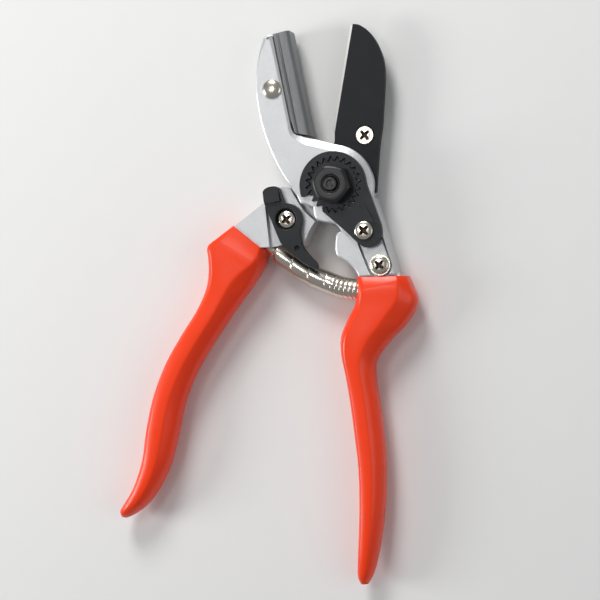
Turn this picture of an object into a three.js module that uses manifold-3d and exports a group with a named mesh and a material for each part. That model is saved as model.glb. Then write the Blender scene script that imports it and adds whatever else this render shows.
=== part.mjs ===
// Anvil pruning shears: two forged aluminium arms that cross at a pivot bolt, a straight blade that lands
// on a soft anvil bar, a volute spring between the arms, vinyl grips and a thumb latch.
//
// Millimetres, +Z up. The origin is on the pivot axis, at the back face of the bolt head, so the shears lie
// on the plane z = 0. +Y bisects the open jaws towards their tips and +X is to the right. Each arm is drawn
// as it stands when the jaws are closed, with the line where blade and anvil meet at x = CUT_X, and is then
// swung outwards by half of the opening.

import * as THREE from 'three';
import * as BufferGeometryUtils from 'three/addons/utils/BufferGeometryUtils.js';
import Module from 'manifold-3d';

const { degToRad } = THREE.MathUtils;

// ---------- driving dimensions ----------

const OPENING = degToRad( 21.7 ); // between the arms at rest
const CUT_X = - 5.7; // line where the blade's edge meets the anvil
const CUT_GAP = 0.15; // left between edge and anvil when the jaws are closed
const FIT = 0.3; // clearance around a piece that sits inside another
const LOW = - 1; // levels beyond both faces, for tools that cut right through
const HIGH = 30;

// Levels of the stacked layers, from the back of the bolt head to the tip of the bolt.
const HEAD_TOP = 2.0;
const THRUST_TOP = 2.4;
const CARRIER_TOP = 6.4;
const BLADE_TOP = 8.8;
const SPACER_TOP = 9.2;
const ARM_BACK = 1.6;
const ARM_FRONT = 13.6;
const POCKET_FLOOR = 11.0;
const CHANNEL_FLOOR = 11.4;
const BAR_TOP = 13.2;
const BAR_WASHER_TOP = 13.7;
const TOOTHED_TOP = 15.2;
const PLATE_TOP = 15.8;
const NUT_TOP = 20.2;
const BOLT_TOP = 21.0;
const ANVIL_BACK = 3.1;
const ANVIL_FRONT = 12.1;
const GRIP_MID = 7.6;

// Radii about the pivot axis.
const BOLT_HEAD_R = 8.0;
const SHANK_R = 4.0;
const THREAD_R = 2.5;
const BUSH_R = 5.2;
const HUB_R = 13.6; // hub of the blade arm
const HUB_RELIEF_R = 14.0; // room for it in the anvil arm
const TOOTH_TIP_R = 10.0;
const TOOTH_ROOT_R = 8.9;
const TOOTH_COUNT = 24;
const TOOTH_FIT = 0.35;
const PLATE_R = 12.5;
const NUT_CORNER_R = 7.5;
const THRUST_R = 7.6;
const SPACER_R = 7.0;
const HEEL_R = 12.4; // round heel of the blade

// Screws.
const SCREW_R = 1.5;
const SCREW_HEAD_R = 3.5;
const SCREW_HEAD_H = 1.5;
const BAR_SCREW_HEAD_R = 3.3;
const BAR_WASHER_R = 3.9;
const BLADE_SCREW_HEAD_R = 3.4;
const SLOT_HALF = 0.35; // half the width of a cross recess's arms

// Rivet, detent plunger and adjuster.
const RIVET_R = 1.7;
const RIVET_HEAD_R = 3.6;
const DETENT_R = 1.1;
const BAR_R = 4.1;
const CHANNEL_R = 4.7;

// Anvil bar and the tongue that holds it in its arm.
const ANVIL_IN = - 11.7;
const ANVIL_TOP = 61.2; // at the cut line
const ANVIL_TOP_IN = 59.0; // at the inner side
const ANVIL_BEVEL = 1.0;
const TONGUE = { from: [ - 19.4, 33.0 ], to: [ ANVIL_IN + 1, 46.0 ], back: 5.6, front: 9.6 };

// Latch.
const LATCH_BACK = 11.3;
const LATCH_FRONT = 14.8;
const LATCH_WELL = 12.6;
const LATCH_HUB_R = 5.9;
const LATCH_WASHER_R = 3.6;
const TAB_TOP = 16.0;

// Spring.
const SPRING_Z = 6.8;
const SPRING_R = 3.3;
const SPRING_WALL = 0.8;
const SEAT_R = 2.9;
const PEG_R = 2.1;

// Core of each tang, inside its grip.
const CORE_INSET = 2.4;
const CORE_HALF = 4.2;
const CORE_STATIONS = 12;

// Places, each in the frame of the arm that carries it, drawn closed.
const RIVET_AT = [ - 15.9, 39.9 ];
const PLATE_SCREW_AT = [ 7.9, - 19.0 ];
const BAR_SCREW_AT = [ 10.6, - 32.4 ];
const BLADE_SCREW_AT = [ 6.9, 19.9 ];
const LATCH_AT = [ - 15.9, - 15.4 ];
const DETENT_AT = [ - 11.6, - 22.3 ];
const RIGHT_SEAT = { from: [ 6.2, - 41.7 ], face: [ - 0.5, - 39.3 ] };
const LEFT_SEAT = { from: [ - 23.6, - 26.2 ], face: [ - 20.0, - 27.8 ] };

// Stations of the two grips from the collar to the end: left edge, right edge, half thickness.
const RIGHT_GRIP_STATIONS = [
	[ [ 0.3, - 35.2 ], [ 18.8, - 37.9 ], 7.2 ],
	[ [ 0.2, - 38.6 ], [ 20.1, - 42.0 ], 7.5 ],
	[ [ - 2.2, - 44.2 ], [ 20.7, - 48.4 ], 7.5 ],
	[ [ - 6.9, - 50.0 ], [ 15.2, - 54.8 ], 7.5 ],
	[ [ - 10.2, - 55.2 ], [ 7.4, - 60.2 ], 7.5 ],
	[ [ - 11.5, - 61.8 ], [ 1.2, - 66.0 ], 7.4 ],
	[ [ - 11.4, - 69.5 ], [ - 0.5, - 71.6 ], 7.2 ],
	[ [ - 11.8, - 79.6 ], [ - 1.0, - 80.0 ], 7.0 ],
	[ [ - 12.6, - 91.0 ], [ - 1.8, - 91.0 ], 7.0 ],
	[ [ - 13.8, - 104.0 ], [ - 3.5, - 104.4 ], 7.0 ],
	[ [ - 16.3, - 117.6 ], [ - 6.4, - 117.0 ], 6.8 ],
	[ [ - 18.9, - 128.4 ], [ - 9.6, - 127.2 ], 6.4 ],
	[ [ - 21.2, - 137.0 ], [ - 13.1, - 136.2 ], 5.6 ],
	[ [ - 22.4, - 142.6 ], [ - 16.4, - 142.8 ], 4.2 ],
	[ [ - 21.8, - 145.6 ], [ - 19.2, - 146.0 ], 2.0 ],
];
const LEFT_GRIP_STATIONS = [
	[ [ - 37.2, - 21.4 ], [ - 24.4, - 28.4 ], 7.2 ],
	[ [ - 41.6, - 25.4 ], [ - 23.6, - 33.2 ], 7.5 ],
	[ [ - 45.0, - 30.4 ], [ - 24.4, - 38.6 ], 7.5 ],
	[ [ - 44.2, - 37.0 ], [ - 26.8, - 44.2 ], 7.5 ],
	[ [ - 43.0, - 44.8 ], [ - 30.0, - 50.4 ], 7.5 ],
	[ [ - 44.8, - 53.4 ], [ - 34.0, - 58.4 ], 7.4 ],
	[ [ - 49.4, - 63.8 ], [ - 38.8, - 69.0 ], 7.2 ],
	[ [ - 54.4, - 76.2 ], [ - 42.8, - 79.8 ], 7.0 ],
	[ [ - 57.2, - 89.4 ], [ - 45.0, - 90.6 ], 7.0 ],
	[ [ - 57.9, - 102.6 ], [ - 45.6, - 102.4 ], 7.0 ],
	[ [ - 57.6, - 114.6 ], [ - 46.6, - 113.8 ], 6.8 ],
	[ [ - 59.2, - 124.8 ], [ - 49.2, - 123.0 ], 6.4 ],
	[ [ - 61.8, - 131.6 ], [ - 53.0, - 130.8 ], 5.6 ],
	[ [ - 63.4, - 135.2 ], [ - 57.6, - 135.6 ], 4.0 ],
	[ [ - 62.6, - 137.2 ], [ - 60.2, - 137.4 ], 2.0 ],
];

// ---------- materials ----------

function finish( color, metalness, roughness ) {

	return new THREE.MeshStandardMaterial( { color, metalness, roughness } );

}

const forgedAluminium = finish( 0xc9cccf, 0.85, 0.42 );
const anvilMetal = finish( 0x8b8f93, 0.7, 0.5 );
const blackCoating = finish( 0x2b2c2e, 0.2, 0.5 );
const blackSteel = finish( 0x303234, 0.5, 0.45 );
const nickel = finish( 0xd6cfc0, 1.0, 0.25 );
const bronze = finish( 0xa9854f, 0.9, 0.4 );
const redVinyl = finish( 0xe8330c, 0.0, 0.28 );

// ---------- solids ----------

const wasm = await Module();
wasm.setup();

function toSolid( geometry ) {

	const bare = geometry.clone();
	bare.deleteAttribute( 'normal' );
	bare.deleteAttribute( 'uv' );
	const merged = BufferGeometryUtils.mergeVertices( bare, 1e-4 );
	return new wasm.Manifold( new wasm.Mesh( {
		numProp: 3,
		vertProperties: Float32Array.from( merged.attributes.position.array ),
		triVerts: Uint32Array.from( merged.index.array ),
	} ) );

}

function toGeometry( solid ) {

	const mesh = solid.getMesh();
	const geometry = new THREE.BufferGeometry();
	const positions = Float32Array.from( mesh.vertProperties );
	const triangles = Uint32Array.from( mesh.triVerts );
	geometry.setAttribute( 'position', new THREE.BufferAttribute( positions, 3 ) );
	geometry.setIndex( new THREE.BufferAttribute( triangles, 1 ) );
	geometry.computeVertexNormals();
	return geometry;

}

function add( ...solids ) {

	return solids.reduce( ( sum, solid ) => sum.add( solid ) );

}

function cut( body, ...tools ) {

	return tools.reduce( ( left, tool ) => left.subtract( tool ), body );

}

// A flat plate between two levels.
function plate( shape, from, to, curveSegments = 3 ) {

	const depth = to - from;
	const geometry = new THREE.ExtrudeGeometry( shape, { depth, bevelEnabled: false, curveSegments } );
	geometry.translate( 0, 0, from );
	return toSolid( geometry );

}

// Points for a smooth run of a shape's outline.
function spline( ...points ) {

	return points.map( ( [ x, y ] ) => new THREE.Vector2( x, y ) );

}

function polygon( points ) {

	return new THREE.Shape( spline( ...points ) );

}

function block( [ x0, y0, z0 ], [ x1, y1, z1 ] ) {

	const geometry = new THREE.BoxGeometry( x1 - x0, y1 - y0, z1 - z0 );
	geometry.translate( ( x0 + x1 ) / 2, ( y0 + y1 ) / 2, ( z0 + z1 ) / 2 );
	return toSolid( geometry );

}

function disc( [ x, y ], radius, from, to, sides = 32 ) {

	const geometry = new THREE.CylinderGeometry( radius, radius, to - from, sides );
	geometry.rotateX( Math.PI / 2 );
	geometry.translate( x, y, ( from + to ) / 2 );
	return toSolid( geometry );

}

// A round piece about a vertical axis: the profile runs from the axis, round the outside, back to the axis.
function turned( [ x, y ], profile, sides = 20 ) {

	const points = profile.map( ( [ r, z ] ) => new THREE.Vector2( r, z ) );
	const geometry = new THREE.LatheGeometry( points, sides );
	geometry.rotateX( Math.PI / 2 );
	geometry.translate( x, y, 0 );
	return toSolid( geometry );

}

function ring( at, inner, outer, from, to, sides = 28 ) {

	return cut( disc( at, outer, from, to, sides ), disc( at, inner, from - 1, to + 1, sides ) );

}

// A round bar in the plane z = level, from one point to another.
function bar( [ x0, y0 ], [ x1, y1 ], radius, level, sides = 18 ) {

	const along = new THREE.Vector3( x1 - x0, y1 - y0, 0 );
	const geometry = new THREE.CylinderGeometry( radius, radius, along.length(), sides );
	const up = new THREE.Vector3( 0, 1, 0 );
	const turn = new THREE.Quaternion().setFromUnitVectors( up, along.clone().normalize() );
	geometry.applyQuaternion( turn );
	geometry.translate( ( x0 + x1 ) / 2, ( y0 + y1 ) / 2, level );
	return toSolid( geometry );

}

// A handle shape through its stations. sides = 4 gives a square section, more sides a rounded one.
function loft( stations, { inset = 0, halfThickness = null, sides = 20, steps = 22, squareness = 2.6 } ) {

	const left = [];
	const right = [];
	for ( const [ leftEdge, rightEdge, half ] of stations ) {

		const a = new THREE.Vector3( ...leftEdge, halfThickness ?? half );
		const b = new THREE.Vector3( ...rightEdge, halfThickness ?? half );
		const across = b.clone().sub( a ).setLength( inset );
		left.push( a.add( across ) );
		right.push( b.sub( across ) );

	}

	const leftCurve = new THREE.CatmullRomCurve3( left, false, 'centripetal' );
	const rightCurve = new THREE.CatmullRomCurve3( right, false, 'centripetal' );
	const square = sides === 4;
	const geometry = new THREE.CylinderGeometry( 1, 1, 1, sides, steps, false, square ? Math.PI / 4 : 0 );
	const position = geometry.attributes.position;
	const round = ( value ) => Math.sign( value ) * Math.pow( Math.abs( value ), 2 / squareness );
	for ( let i = 0; i < position.count; i ++ ) {

		const t = THREE.MathUtils.clamp( 0.5 - position.getY( i ), 0, 1 );
		const a = leftCurve.getPoint( t );
		const b = rightCurve.getPoint( t );
		const u = square ? Math.sign( Math.round( position.getX( i ) * 2 ) ) : round( position.getX( i ) );
		const v = square ? Math.sign( Math.round( position.getZ( i ) * 2 ) ) : round( position.getZ( i ) );
		const at = a.clone().lerp( b, ( u + 1 ) / 2 );
		position.setXYZ( i, at.x, at.y, GRIP_MID + v * at.z );

	}

	return toSolid( geometry );

}

function mesh( name, solid, material ) {

	const piece = new THREE.Mesh( toGeometry( solid ), material );
	piece.name = name;
	return piece;

}

// ---------- anvil arm ----------

function anvilArmOutline() {

	const shape = new THREE.Shape();
	shape.moveTo( - 12.0, 59.4 );
	shape.splineThru( spline( [ - 13.2, 60.1 ], [ - 15.2, 59.6 ] ) );
	shape.splineThru( spline(
		[ - 19.3, 51.5 ], [ - 21.8, 42.4 ], [ - 22.7, 32.9 ], [ - 22.0, 22.5 ],
		[ - 19.6, 11.4 ], [ - 15.8, 1.4 ], [ - 14.8, - 0.9 ],
	) );
	shape.lineTo( - 14.0, - 3.9 );
	shape.lineTo( - 9.6, - 6.3 );
	shape.lineTo( - 9.8, - 9.2 );
	shape.splineThru( spline( [ - 9.2, - 10.9 ], [ - 7.1, - 12.3 ], [ - 2.8, - 14.2 ] ) );
	shape.lineTo( - 0.9, - 17.2 );
	shape.splineThru( spline(
		[ - 2.7, - 17.6 ], [ - 3.7, - 19.7 ], [ - 4.6, - 23.8 ], [ - 4.2, - 25.9 ], [ - 2.6, - 27.5 ],
	) );
	shape.splineThru( spline( [ - 0.6, - 29.4 ], [ 1.1, - 32.2 ], [ 2.0, - 35.0 ] ) );
	shape.lineTo( 17.5, - 37.3 );
	shape.lineTo( 12.7, - 7.4 );
	shape.splineThru( spline(
		[ 14.2, - 1.8 ], [ 13.9, 2.4 ], [ 12.5, 6.6 ], [ 10.0, 10.2 ],
		[ 6.7, 12.9 ], [ 1.5, 15.4 ], [ - 3.8, 18.0 ], [ - 6.2, 19.0 ],
	) );
	shape.lineTo( - 12.0, 22.3 );
	shape.lineTo( - 12.0, 59.4 );
	return shape;

}

// The bar stands from its inner side to the cut line, with a bevel on the front edge of its face.
function anvil() {

	const outline = polygon( [
		[ ANVIL_IN, 22.5 ], [ CUT_X, 20.0 ], [ CUT_X, ANVIL_TOP ], [ ANVIL_IN, ANVIL_TOP_IN ],
	] );
	const tool = block( [ - ANVIL_BEVEL, 0, - ANVIL_BEVEL ], [ ANVIL_BEVEL, 60, ANVIL_BEVEL ] )
		.rotate( [ 0, 45, 0 ] )
		.translate( [ CUT_X, 10, ANVIL_FRONT ] );
	const tongue = block( [ ...TONGUE.from, TONGUE.back ], [ ...TONGUE.to, TONGUE.front ] );
	return cut(
		add( plate( outline, ANVIL_BACK, ANVIL_FRONT ), tongue ),
		tool,
		disc( RIVET_AT, RIVET_R + FIT, TONGUE.back - 1, TONGUE.front + 1, 20 ),
	);

}

function anvilArm() {

	const outline = anvilArmOutline();
	const front = plate( outline, SPACER_TOP, ARM_FRONT );
	const back = cut(
		plate( outline, ARM_BACK, SPACER_TOP ),
		disc( [ 0, 0 ], HUB_RELIEF_R, 0, SPACER_TOP + 1, 64 ),
		block( [ CUT_X - 0.6, - 7.4, 0 ], [ 20, 30, SPACER_TOP + 1 ] ),
		block( [ - 30, - 16.5, 0 ], [ - 1.5, 0.2, SPACER_TOP + 1 ] ),
	);
	const core = tangCore( RIGHT_GRIP_STATIONS, 0 );
	const anvilSeat = block( [ ANVIL_IN - FIT, 10, 0 ], [ 0, 70, ARM_FRONT + 1 ] );
	const ledge = polygon( [
		[ - 12.2, 22.3 ], [ - 5.9, 19.6 ], [ 4, 15 ], [ 4, 8 ], [ - 14, 8 ], [ - 14, 22.3 ],
	] );
	const tongueSlot = block(
		[ TONGUE.from[ 0 ] - FIT, TONGUE.from[ 1 ] - FIT, TONGUE.back - FIT ],
		[ ANVIL_IN + 5, TONGUE.to[ 1 ] + FIT, TONGUE.front + FIT ],
	);
	const channel = new THREE.Shape();
	channel.moveTo( 3.4, - 16 );
	channel.lineTo( 4.2, - 24.4 );
	channel.lineTo( 5.7, - 33.0 );
	channel.absarc( 10.4, - 32.4, CHANNEL_R, Math.PI, 2 * Math.PI, false );
	channel.lineTo( 13.6, - 21.0 );
	channel.lineTo( 11.6, - 13.5 );
	channel.lineTo( 3.4, - 16 );
	return cut(
		add( front, back, core ),
		anvilSeat.subtract( plate( ledge, LOW, HIGH ) ),
		tongueSlot,
		plate( channel, CHANNEL_FLOOR, ARM_FRONT + 1 ),
		disc( [ 0, 0 ], SHANK_R + FIT, LOW, HIGH, 40 ),
		disc( RIVET_AT, RIVET_R + FIT, LOW, HIGH, 20 ),
		disc( PLATE_SCREW_AT, SCREW_R + FIT, 3, HIGH, 20 ),
		disc( BAR_SCREW_AT, SCREW_R + FIT, 3, HIGH, 20 ),
		bar( RIGHT_SEAT.from, extend( RIGHT_SEAT, 4 ), SEAT_R + FIT, SPRING_Z ),
	);

}

// The point that lies further along a seat's axis than its face.
function extend( { from, face }, distance ) {

	const axis = new THREE.Vector2( face[ 0 ] - from[ 0 ], face[ 1 ] - from[ 1 ] ).normalize();
	return [ face[ 0 ] + axis.x * distance, face[ 1 ] + axis.y * distance ];

}

// The part of an arm that runs down inside its grip, with a collar that reaches up past the grip's rim.
// grow makes it the pocket that the grip has for it.
function tangCore( stations, grow ) {

	const [ left, right ] = stations[ 0 ].slice( 0, 2 ).map( ( [ x, y ] ) => new THREE.Vector2( x, y ) );
	const along = right.clone().sub( left ).normalize();
	const down = new THREE.Vector2( along.y, - along.x );
	const corner = ( end, side, depth ) =>
		end.clone().addScaledVector( along, side ).addScaledVector( down, depth );
	const collar = new THREE.Shape( [
		corner( left, CORE_INSET - grow, 4 ),
		corner( right, grow - CORE_INSET, 4 ),
		corner( right, grow - CORE_INSET, - 2 ),
		corner( left, CORE_INSET - grow, - 2 ),
	] );
	const half = CORE_HALF + grow;
	const reached = stations.slice( 0, CORE_STATIONS );
	const run = loft( reached, { inset: CORE_INSET - grow, halfThickness: half, sides: 4 } );
	return run.add( plate( collar, GRIP_MID - half, GRIP_MID + half ) );

}

function grip( stations, seat ) {

	return cut(
		loft( stations, {} ),
		tangCore( stations, FIT ),
		bar( seat.from, extend( seat, 5 ), SEAT_R + FIT, SPRING_Z ),
	);

}

// ---------- pivot stack and locking plate ----------

function pivotBolt() {

	return turned( [ 0, 0 ], [
		[ 0, 0 ], [ BOLT_HEAD_R - 0.6, 0 ], [ BOLT_HEAD_R, 0.6 ], [ BOLT_HEAD_R, HEAD_TOP ],
		[ SHANK_R, HEAD_TOP ], [ SHANK_R, ARM_FRONT ], [ THREAD_R, ARM_FRONT ],
		[ THREAD_R, BOLT_TOP - 0.5 ], [ THREAD_R - 0.5, BOLT_TOP ], [ 0, BOLT_TOP ],
	], 28 );

}

function pivotNut() {

	const hex = disc( [ 0, 0 ], NUT_CORNER_R, TOOTHED_TOP, NUT_TOP, 6 );
	const crown = turned( [ 0, 0 ], [
		[ 0, TOOTHED_TOP ], [ NUT_CORNER_R - 0.2, TOOTHED_TOP ], [ NUT_CORNER_R, NUT_TOP - 2.2 ],
		[ 6.0, NUT_TOP ], [ 0, NUT_TOP ],
	], 36 );
	return cut( hex.intersect( crown ), disc( [ 0, 0 ], THREAD_R + FIT, LOW, HIGH, 28 ) );

}

// A gear-like outline; grow moves it outwards.
function toothedOutline( grow ) {

	const tooth = [ [ 0, TOOTH_ROOT_R ], [ 0.3, TOOTH_ROOT_R ], [ 0.5, TOOTH_TIP_R ], [ 0.7, TOOTH_TIP_R ] ];
	const points = [];
	for ( let i = 0; i < TOOTH_COUNT; i ++ ) {

		for ( const [ part, radius ] of tooth ) {

			const angle = ( i + part ) / TOOTH_COUNT * 2 * Math.PI;
			points.push( [ ( radius + grow ) * Math.cos( angle ), ( radius + grow ) * Math.sin( angle ) ] );

		}

	}

	return polygon( points );

}

function toothedWasher() {

	return cut(
		plate( toothedOutline( 0 ), ARM_FRONT, TOOTHED_TOP ),
		disc( [ 0, 0 ], THREAD_R + FIT, LOW, HIGH, 28 ),
	);

}

function lockingPlate() {

	const arm = new THREE.Shape();
	arm.moveTo( - 6.4, - 8.2 );
	arm.lineTo( 0.5, - 17.0 );
	arm.lineTo( 5.0, - 23.4 );
	arm.splineThru( spline(
		[ 7.0, - 25.1 ], [ 9.8, - 25.4 ], [ 12.4, - 24.2 ], [ 14.1, - 21.7 ], [ 14.5, - 18.1 ],
	) );
	arm.lineTo( 12.6, - 5.6 );
	arm.lineTo( 11.9, - 1.0 );
	arm.lineTo( 0, 0 );
	const gap = polygon( [ [ 0, 0 ], [ - 20, - 2.9 ], [ - 20, - 26 ], [ 0, - 14 ] ] ); // open side of the ring
	const disk = cut(
		disc( [ - 0.3, - 0.2 ], PLATE_R, ARM_FRONT, PLATE_TOP, 64 ),
		plate( gap, LOW, HIGH ),
	);
	return cut(
		add( disk, plate( arm, ARM_FRONT, PLATE_TOP ) ),
		plate( toothedOutline( TOOTH_FIT ), LOW, HIGH ),
		disc( PLATE_SCREW_AT, SCREW_R + FIT, LOW, HIGH, 20 ),
	);

}

// A cross-recess screw: a low domed head from seat upwards and a shank down to tip.
function screw( at, seat, tip, headRadius = SCREW_HEAD_R, headHeight = SCREW_HEAD_H ) {

	const top = seat + headHeight;
	const body = turned( at, [
		[ 0, tip ], [ SCREW_R - 0.4, tip ], [ SCREW_R, tip + 0.5 ], [ SCREW_R, seat ], [ headRadius, seat ],
		[ headRadius, seat + 0.5 ], [ headRadius * 0.8, top - 0.2 ], [ headRadius * 0.45, top ], [ 0, top ],
	] );
	return body.subtract( crossRecess( at, { from: top - 0.8, to: top + 1, reach: 1.6, turn: 28 } ) );

}

function crossRecess( at, { from, to, reach, turn } ) {

	const slot = ( x, y ) => block( [ - x, - y, from ], [ x, y, to ] );
	return add( slot( reach, SLOT_HALF ), slot( SLOT_HALF, reach ) )
		.rotate( [ 0, 0, turn ] )
		.translate( [ ...at, 0 ] );

}

function adjusterBar() {

	const shape = new THREE.Shape();
	shape.moveTo( 4.2, - 17.0 );
	shape.lineTo( 4.8, - 24.4 );
	shape.lineTo( 6.3, - 32.6 );
	shape.absarc( 10.4, - 32.4, BAR_R, Math.PI, 2 * Math.PI, false );
	shape.lineTo( 12.9, - 21.0 );
	shape.lineTo( 11.3, - 15.2 );
	shape.lineTo( 4.2, - 17.0 );
	return cut(
		plate( shape, CHANNEL_FLOOR, BAR_TOP ),
		disc( PLATE_SCREW_AT, SCREW_R + FIT, LOW, HIGH, 20 ),
		disc( BAR_SCREW_AT, SCREW_R + FIT, LOW, HIGH, 20 ),
	);

}

function adjusterWasher() {

	return ring( BAR_SCREW_AT, SCREW_R + FIT, BAR_WASHER_R, BAR_TOP, BAR_WASHER_TOP );

}

function rivet() {

	return turned( RIVET_AT, [
		[ 0, 0.6 ], [ 2.2, 0.7 ], [ 2.8, ARM_BACK ], [ RIVET_R, ARM_BACK ], [ RIVET_R, ARM_FRONT ],
		[ RIVET_HEAD_R, ARM_FRONT ], [ RIVET_HEAD_R, ARM_FRONT + 0.4 ],
		[ RIVET_HEAD_R * 0.75, ARM_FRONT + 1.1 ], [ 0, ARM_FRONT + 1.4 ],
	] );

}

// A spring seat: a round foot in the arm and a thinner peg that the spring's end slips over.
function springSeat( seat ) {

	return add(
		bar( seat.from, seat.face, SEAT_R, SPRING_Z ),
		bar( seat.from, extend( seat, 5.0 ), PEG_R, SPRING_Z, 20 ),
	);

}

// ---------- blade arm ----------

const BLADE_MIDDLE = ( CARRIER_TOP + BLADE_TOP ) / 2;
const GROUND_WIDTH = 1.6; // from the cut line to the end of the ground bevel

// What grinding takes off one side of the blade's edge; face is that side's level and away lies beyond it.
function grinding( face, away ) {

	const profile = polygon( [
		[ CUT_X - 1, BLADE_MIDDLE ], [ CUT_X + CUT_GAP, BLADE_MIDDLE ], [ CUT_X + GROUND_WIDTH, face ],
		[ CUT_X + GROUND_WIDTH, away ], [ CUT_X - 1, away ],
	] );
	const geometry = new THREE.ExtrudeGeometry( profile, { depth: 60, bevelEnabled: false } );
	geometry.rotateX( Math.PI / 2 );
	geometry.translate( 0, 70, 0 );
	return toSolid( geometry );

}

function blade() {

	const shape = new THREE.Shape();
	shape.moveTo( CUT_X + CUT_GAP, 19.2 );
	shape.lineTo( - 3.9, 16.0 );
	shape.lineTo( - 5.0, 11.0 );
	shape.absarc( 0, 0, HEEL_R, degToRad( 114 ), degToRad( 350 ), false );
	shape.lineTo( 14.8, 0.0 );
	shape.splineThru( spline( [ 13.9, 8.6 ], [ 13.1, 17.2 ], [ 12.9, 24.0 ], [ 12.2, 30.6 ], [ 11.4, 38.0 ] ) );
	shape.splineThru( spline(
		[ 10.5, 44.0 ], [ 9.1, 48.4 ], [ 7.0, 52.2 ], [ 4.3, 55.6 ], [ 1.1, 58.2 ],
		[ - 1.9, 59.6 ], [ - 4.6, 59.6 ],
	) );
	shape.lineTo( CUT_X + CUT_GAP, 58.8 );
	const countersink = turned( BLADE_SCREW_AT, [
		[ 0, 6.0 ], [ SCREW_R + FIT, 6.0 ], [ SCREW_R + FIT, 6.9 ], [ 3.9, 9.0 ], [ 0, 9.0 ],
	] );
	return cut(
		plate( shape, CARRIER_TOP, BLADE_TOP ),
		grinding( BLADE_TOP, BLADE_TOP + 1 ),
		grinding( CARRIER_TOP, CARRIER_TOP - 1 ),
		disc( [ 0, 0 ], BUSH_R + FIT, LOW, HIGH, 40 ),
		countersink,
	);

}

function bladeArm() {

	const carrier = new THREE.Shape();
	carrier.moveTo( - 2.7, 13.4 );
	carrier.splineThru( spline(
		[ - 2.2, 18.0 ], [ - 0.4, 22.8 ], [ 3.0, 26.6 ], [ 8.0, 28.2 ], [ 12.0, 26.6 ], [ 12.9, 24.0 ],
	) );
	carrier.splineThru( spline( [ 13.1, 17.2 ], [ 13.9, 8.6 ], [ 14.8, 0.0 ], [ 15.1, - 1.5 ] ) );
	carrier.lineTo( 13.5, - 1.7 );
	carrier.absarc( 0, 0, HUB_R, degToRad( - 7.2 ), degToRad( - 111 ), true );
	carrier.lineTo( - 5.7, - 14.4 );
	carrier.lineTo( - 8.0, - 18.0 );
	carrier.lineTo( - 18.5, - 8.5 );
	carrier.lineTo( - 15.4, - 6.1 );
	carrier.lineTo( - 12.1, - 6.2 );
	carrier.absarc( 0, 0, HUB_R, degToRad( 207 ), degToRad( 101.4 ), true );
	const rim = [ [ - 25.3, - 27.5 ], [ - 36.0, - 21.6 ] ];
	const edge = [ [ - 32.6, - 18.3 ], [ - 28.5, - 13.9 ], [ - 25.3, - 10.5 ] ];
	const tang = polygon( [
		...rim, ...edge, [ - 20.3, - 3.6 ], [ - 17.6, - 4.0 ], [ - 15.4, - 6.1 ], [ - 13.2, - 8.5 ],
		[ - 10.4, - 11.4 ], [ - 5.7, - 14.4 ], [ - 7.2, - 17.7 ], [ - 8.7, - 24.0 ], [ - 14.0, - 24.2 ],
		[ - 20.1, - 26.4 ],
	].reverse() );
	const raised = polygon( [ ...rim, ...edge, [ - 20.6, - 26.6 ] ].reverse() );
	const arm = add(
		plate( carrier, THRUST_TOP, CARRIER_TOP ),
		plate( tang, ARM_BACK, POCKET_FLOOR ),
		plate( raised, ARM_BACK, ARM_FRONT ),
		tangCore( LEFT_GRIP_STATIONS, 0 ),
	);
	return cut(
		arm,
		disc( [ 0, 0 ], BUSH_R + FIT, LOW, HIGH, 40 ),
		disc( BLADE_SCREW_AT, SCREW_R + FIT, LOW, HIGH, 20 ),
		disc( LATCH_AT, SCREW_R + FIT, 4, HIGH, 20 ),
		disc( DETENT_AT, DETENT_R + FIT, POCKET_FLOOR - 4.5, HIGH, 20 ),
		bar( LEFT_SEAT.from, LEFT_SEAT.face, SEAT_R + FIT, SPRING_Z ),
		bar( extend( LEFT_SEAT, - 0.6 ), extend( LEFT_SEAT, 16 ), SPRING_R + FIT + 0.2, SPRING_Z ),
	);

}

function bladeScrew() {

	const body = turned( BLADE_SCREW_AT, [
		[ 0, 0.7 ], [ SCREW_R, 0.7 ], [ SCREW_R, 7.2 ], [ BLADE_SCREW_HEAD_R, 8.9 ], [ 2.6, 9.05 ], [ 0, 9.1 ],
	] );
	return body.subtract( crossRecess( BLADE_SCREW_AT, { from: 8.2, to: 10, reach: 1.7, turn: 10 } ) );

}

function bladeNut() {

	return cut(
		disc( BLADE_SCREW_AT, 3.4, 0.4, THRUST_TOP, 6 ),
		disc( BLADE_SCREW_AT, SCREW_R + FIT, LOW, HIGH, 20 ),
	);

}

// ---------- latch ----------

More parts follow.
